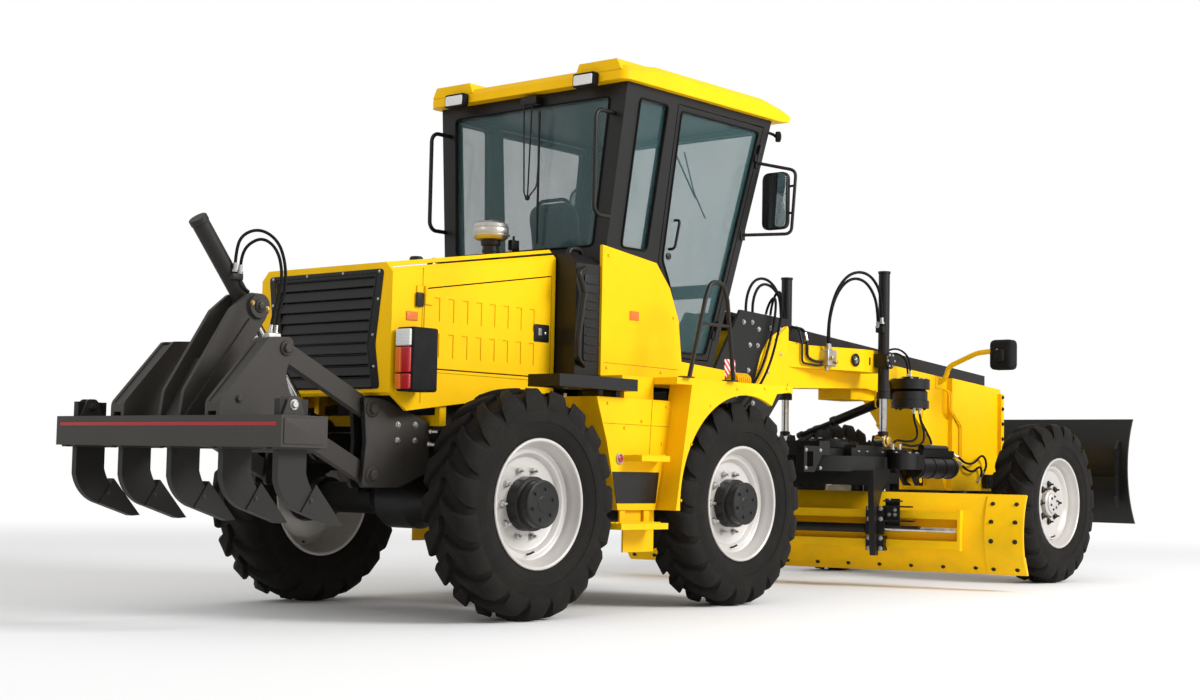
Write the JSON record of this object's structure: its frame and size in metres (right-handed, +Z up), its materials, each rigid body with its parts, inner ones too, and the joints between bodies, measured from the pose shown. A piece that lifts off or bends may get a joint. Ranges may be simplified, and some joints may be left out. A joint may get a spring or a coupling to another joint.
{
  "type": "motor grader",
  "caption": "Compact motor grader with front steered axle, mid-mounted blade on a turning circle, rear ripper, front dozer blade and enclosed cab.",
  "frame": {"origin": "on the ground under the middle of the machine's length, on its centreline", "axes": "+X forward, +Y to the driver's left, +Z up"},
  "size_m": [9.252, 3.1466, 3.328],
  "materials": {
    "yellow_paint": "gloss",
    "black_paint": "satin",
    "ripper_grey": "satin",
    "chrome_rod": "polished",
    "green_glass": "clear",
    "cast_engine": "matte",
    "seat_cloth": "matte",
    "lamp_plastic": "satin",
    "bright_steel": "polished",
    "tyre_rubber": "matte",
    "silver_paint": "satin"
  },
  "bodies": {
    "chassis": {"main_frame": "black_paint", "drive_line": "black_paint", "engine": "cast_engine", "hood": "yellow_paint", "grille": "black_paint", "service_housing": "black_paint", "cab_frame": "black_paint", "cab_glass": "green_glass", "cab_roof": "yellow_paint", "side_panels": "yellow_paint", "platforms": "yellow_paint", "handrails": "black_paint", "seat": "seat_cloth", "steering_console": "black_paint", "lamps": "lamp_plastic", "mirrors": "black_paint", "pre_cleaner": "bright_steel", "gooseneck": "yellow_paint", "neck_cover": "black_paint", "front_axle": "black_paint", "post_fittings": "black_paint"},
    "wheel_rear_right": {"tyre_rear_right": "tyre_rubber", "rim_rear_right": "silver_paint"},
    "wheel_rear_left": {"tyre_rear_left": "tyre_rubber", "rim_rear_left": "silver_paint"},
    "wheel_mid_right": {"tyre_mid_right": "tyre_rubber", "rim_mid_right": "silver_paint"},
    "wheel_mid_left": {"tyre_mid_left": "tyre_rubber", "rim_mid_left": "silver_paint"},
    "steer_right": {"knuckle_right": "black_paint"},
    "steer_left": {"knuckle_left": "black_paint"},
    "tie_rod": {"tie_rod": "black_paint"},
    "wheel_front_right": {"tyre_front_right": "tyre_rubber", "rim_front_right": "silver_paint"},
    "wheel_front_left": {"tyre_front_left": "tyre_rubber", "rim_front_left": "silver_paint"},
    "cab_door_right": {"door_right": "black_paint", "door_glass_right": "green_glass"},
    "cab_door_left": {"door_left": "black_paint", "door_glass_left": "green_glass"},
    "hood_door_right": {"hood_door_right": "yellow_paint"},
    "hood_door_left": {"hood_door_left": "yellow_paint"},
    "drawbar": {"drawbar": "black_paint"},
    "circle": {"circle": "black_paint"},
    "moldboard": {"moldboard": "yellow_paint"},
    "lift_barrel_right": {"lift_barrel_right": "black_paint"},
    "lift_rod_right": {"lift_rod_right": "chrome_rod"},
    "lift_barrel_left": {"lift_barrel_left": "black_paint"},
    "lift_rod_left": {"lift_rod_left": "chrome_rod"},
    "ripper_lower_link": {"ripper_lower_link": "ripper_grey"},
    "ripper_upper_link": {"ripper_upper_link": "ripper_grey"},
    "ripper": {"ripper_frame": "ripper_grey", "ripper_shanks": "ripper_grey"},
    "ripper_barrel": {"ripper_barrel": "ripper_grey"},
    "ripper_rod": {"ripper_rod": "chrome_rod"},
    "dozer_blade": {"dozer_blade": "black_paint"},
    "dozer_barrel": {"dozer_barrel": "black_paint"},
    "dozer_rod": {"dozer_rod": "chrome_rod"}
  },
  "joints": [
    {"name": "rear_right_spin", "type": "hinge", "parent": "chassis", "child": "wheel_rear_right", "pos_m": [-2.87, -0.89, 0.64], "axis": [0, 1, 0], "continuous": true},
    {"name": "rear_left_spin", "type": "hinge", "parent": "chassis", "child": "wheel_rear_left", "pos_m": [-2.87, 0.89, 0.64], "axis": [0, 1, 0], "continuous": true},
    {"name": "mid_right_spin", "type": "hinge", "parent": "chassis", "child": "wheel_mid_right", "pos_m": [-0.958, -0.89, 0.64], "axis": [0, 1, 0], "continuous": true},
    {"name": "mid_left_spin", "type": "hinge", "parent": "chassis", "child": "wheel_mid_left", "pos_m": [-0.958, 0.89, 0.64], "axis": [0, 1, 0], "continuous": true},
    {"name": "steer_right", "type": "hinge", "parent": "chassis", "child": "steer_right", "pos_m": [3.282, -0.76, 0.64], "axis": [0, 0, 1], "range_deg": [-32, 32]},
    {"name": "steer_left", "type": "hinge", "parent": "chassis", "child": "steer_left", "pos_m": [3.282, 0.76, 0.64], "axis": [0, 0, 1], "range_deg": [-32, 32]},
    {"name": "tie_rod_slide", "type": "slide", "parent": "chassis", "child": "tie_rod", "axis": [0, 1, 0], "range_m": [-0.1, 0.1]},
    {"name": "front_right_spin", "type": "hinge", "parent": "steer_right", "child": "wheel_front_right", "pos_m": [3.282, -1, 0.64], "axis": [0, 1, 0], "continuous": true},
    {"name": "front_left_spin", "type": "hinge", "parent": "steer_left", "child": "wheel_front_left", "pos_m": [3.282, 1, 0.64], "axis": [0, 1, 0], "continuous": true},
    {"name": "cab_door_right_swing", "type": "hinge", "parent": "chassis", "child": "cab_door_right", "pos_m": [-0.76684, -0.65133, 1.7], "axis": [0.2224, -0.1019, 0.9696], "range_deg": [0, 75]},
    {"name": "cab_door_left_swing", "type": "hinge", "parent": "chassis", "child": "cab_door_left", "pos_m": [-0.76684, 0.65133, 1.7], "axis": [-0.2224, -0.1019, -0.9696], "range_deg": [0, 75]},
    {"name": "hood_door_right_swing", "type": "hinge", "parent": "chassis", "child": "hood_door_right", "pos_m": [-3.32, -0.56, 1.4], "axis": [0, 0, -1], "range_deg": [0, 80]},
    {"name": "hood_door_left_swing", "type": "hinge", "parent": "chassis", "child": "hood_door_left", "pos_m": [-3.32, 0.56, 1.4], "axis": [0, 0, 1], "range_deg": [0, 80]},
    {"name": "drawbar_lift", "type": "hinge", "parent": "chassis", "child": "drawbar", "pos_m": [2.93, 0, 0.8], "axis": [0, 1, 0], "range_deg": [-10, 11]},
    {"name": "blade_turn", "type": "hinge", "parent": "drawbar", "child": "circle", "pos_m": [1.49, 0, 0.9], "axis": [0, 0, 1], "range_deg": [-46, 18]},
    {"name": "blade_shift", "type": "slide", "parent": "circle", "child": "moldboard", "axis": [0.247, -0.969, 0], "range_m": [-0.25, 0.25]},
    {"name": "lift_barrel_right_swing", "type": "hinge", "parent": "chassis", "child": "lift_barrel_right", "pos_m": [1.695, -0.45, 1.71], "axis": [0, 1, 0], "range_deg": [-7.5, 6.86]},
    {"name": "lift_rod_right_slide", "type": "slide", "parent": "lift_barrel_right", "child": "lift_rod_right", "axis": [0, 0, -1], "range_m": [-0.2379, 0.2167]},
    {"name": "lift_barrel_left_swing", "type": "hinge", "parent": "chassis", "child": "lift_barrel_left", "pos_m": [1.695, 0.45, 1.71], "axis": [0, 1, 0], "range_deg": [-7.5, 6.86]},
    {"name": "lift_rod_left_slide", "type": "slide", "parent": "lift_barrel_left", "child": "lift_rod_left", "axis": [0, 0, -1], "range_m": [-0.2379, 0.2167]},
    {"name": "ripper_lift", "type": "hinge", "parent": "chassis", "child": "ripper_lower_link", "pos_m": [-3.592, 0, 0.782], "axis": [0, 1, 0], "range_deg": [-50, 8]},
    {"name": "ripper_upper_swing", "type": "hinge", "parent": "chassis", "child": "ripper_upper_link", "pos_m": [-3.6, 0, 1.14], "axis": [0, 1, 0], "range_deg": [-50, 8]},
    {"name": "ripper_frame_swing", "type": "hinge", "parent": "ripper_lower_link", "child": "ripper", "pos_m": [-4.202, 0, 1.07], "axis": [0, 1, 0], "range_deg": [-8, 50]},
    {"name": "ripper_barrel_swing", "type": "hinge", "parent": "ripper", "child": "ripper_barrel", "pos_m": [-4.11, 0, 1.67], "axis": [0, 1, 0], "range_deg": [-36.29, 6.23]},
    {"name": "ripper_rod_slide", "type": "slide", "parent": "ripper_barrel", "child": "ripper_rod", "axis": [0.6139, 0, -0.7894], "range_m": [-0.3214, 0.0556]},
    {"name": "dozer_lift", "type": "hinge", "parent": "chassis", "child": "dozer_blade", "pos_m": [3.69, 0, 0.8], "axis": [0, -1, 0], "range_deg": [-20, 13]},
    {"name": "dozer_barrel_swing", "type": "hinge", "parent": "chassis", "child": "dozer_barrel", "pos_m": [4.06, 0, 1.52], "axis": [0, -1, 0], "range_deg": [-4.85, 3.33]},
    {"name": "dozer_rod_slide", "type": "slide", "parent": "dozer_barrel", "child": "dozer_rod", "axis": [0.3162, 0, -0.9487], "range_m": [-0.1336, 0.2028]}
  ],
  "couplings": [
    {"joint": "steer_left", "follows": "steer_right", "ratio": 1},
    {"joint": "tie_rod_slide", "follows": "steer_right", "m_per_rad": -0.15181},
    {"joint": "lift_barrel_right_swing", "follows": "drawbar_lift", "ratio": -0.63642},
    {"joint": "lift_rod_right_slide", "follows": "drawbar_lift", "m_per_rad": -1.2129},
    {"joint": "lift_barrel_left_swing", "follows": "drawbar_lift", "ratio": -0.63642},
    {"joint": "lift_rod_left_slide", "follows": "drawbar_lift", "m_per_rad": -1.2129},
    {"joint": "ripper_upper_swing", "follows": "ripper_lift", "ratio": 1},
    {"joint": "ripper_frame_swing", "follows": "ripper_lift", "ratio": -1},
    {"joint": "ripper_barrel_swing", "follows": "ripper_lift", "ratio": 0.71588},
    {"joint": "ripper_rod_slide", "follows": "ripper_lift", "m_per_rad": 0.36258},
    {"joint": "dozer_barrel_swing", "follows": "dozer_lift", "ratio": 0.21762},
    {"joint": "dozer_rod_slide", "follows": "dozer_lift", "m_per_rad": -0.56664}
  ]
}
